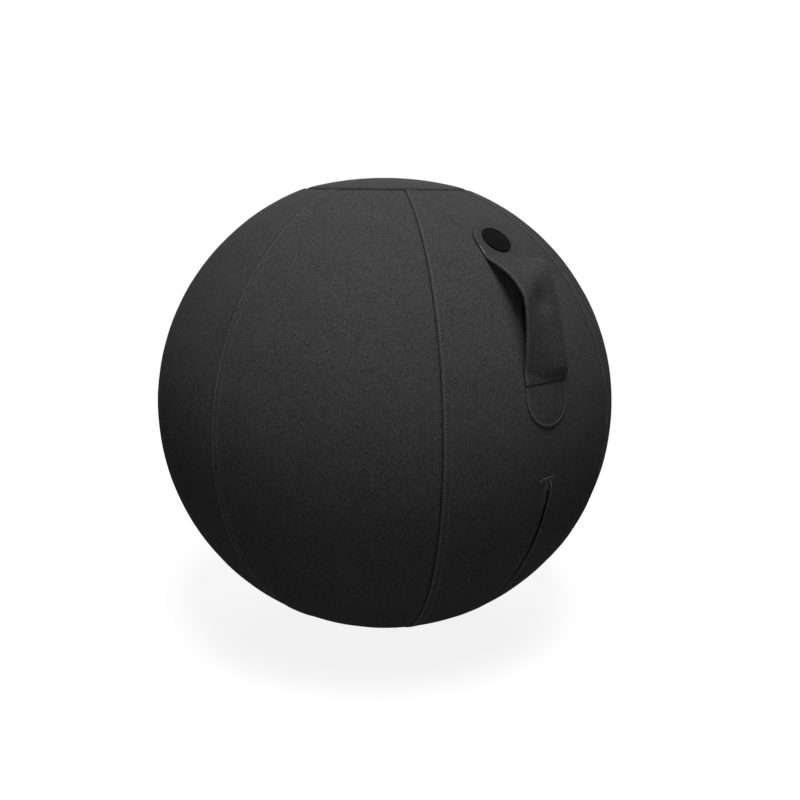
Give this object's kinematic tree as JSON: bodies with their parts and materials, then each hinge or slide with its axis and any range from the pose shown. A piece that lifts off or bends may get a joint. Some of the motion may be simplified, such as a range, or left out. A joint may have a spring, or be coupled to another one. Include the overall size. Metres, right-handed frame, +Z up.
{
  "type": "sitting ball",
  "caption": "Inflated sitting ball in a zipped cloth cover with a strap handle and a flat patch under it to rest on.",
  "frame": {"origin": "centre of the flat patch on which the ball rests, at floor level", "axes": "+Z up; -Y is the front, with the handle above and the zip below; +X to the right seen from the front"},
  "size_m": [0.6499, 0.6515, 0.6403],
  "materials": {
    "cover_cloth": "charcoal melange woven upholstery cloth, matt",
    "seam_cloth": "folded cloth seam allowances and patches, dark, matt",
    "webbing": "stiff woven strap webbing, black",
    "badge_rubber": "moulded soft rubber badge, satin black",
    "zip_tape": "woven zip tape, black",
    "zip_teeth": "moulded plastic teeth, black",
    "zip_metal": "black lacquered die-cast metal",
    "bladder_vinyl": "smooth grey vinyl, satin",
    "plug_plastic": "moulded stopper, off-white"
  },
  "bodies": {
    "ball": {"front_panel": "cover_cloth", "side_panel_1": "cover_cloth", "side_panel_2": "cover_cloth", "side_panel_3": "cover_cloth", "side_panel_4": "cover_cloth", "side_panel_5": "cover_cloth", "side_panel_6": "cover_cloth", "top_panel": "cover_cloth", "base_panel": "cover_cloth", "long_seam_bindings": "seam_cloth", "top_seam_binding": "seam_cloth", "base_seam_binding": "seam_cloth", "handle_face": "cover_cloth", "handle_core": "webbing", "handle_lining": "cover_cloth", "handle_top_patch": "seam_cloth", "handle_tab_patch": "seam_cloth", "badge": "badge_rubber", "zip_tape_left": "zip_tape", "zip_tape_right": "zip_tape", "zip_teeth_left": "zip_teeth", "zip_teeth_right": "zip_teeth", "zip_top_stops": "zip_metal", "zip_bottom_stop": "zip_metal", "zip_end_tab": "cover_cloth", "bladder": "bladder_vinyl", "valve_plug": "plug_plastic"},
    "slider": {"zip_slider": "zip_metal"},
    "pull": {"zip_pull": "zip_metal"}
  },
  "joints": [
    {"name": "zip_run", "type": "hinge", "parent": "ball", "child": "slider", "pos_m": [0, 0, 0.32031], "axis": [1, 0, 0], "range_deg": [0, 53.5]},
    {"name": "zip_pull_lift", "type": "hinge", "parent": "slider", "child": "pull", "pos_m": [0, -0.31859, 0.27514], "axis": [-1, 0, 0], "range_deg": [0, 120]}
  ]
}
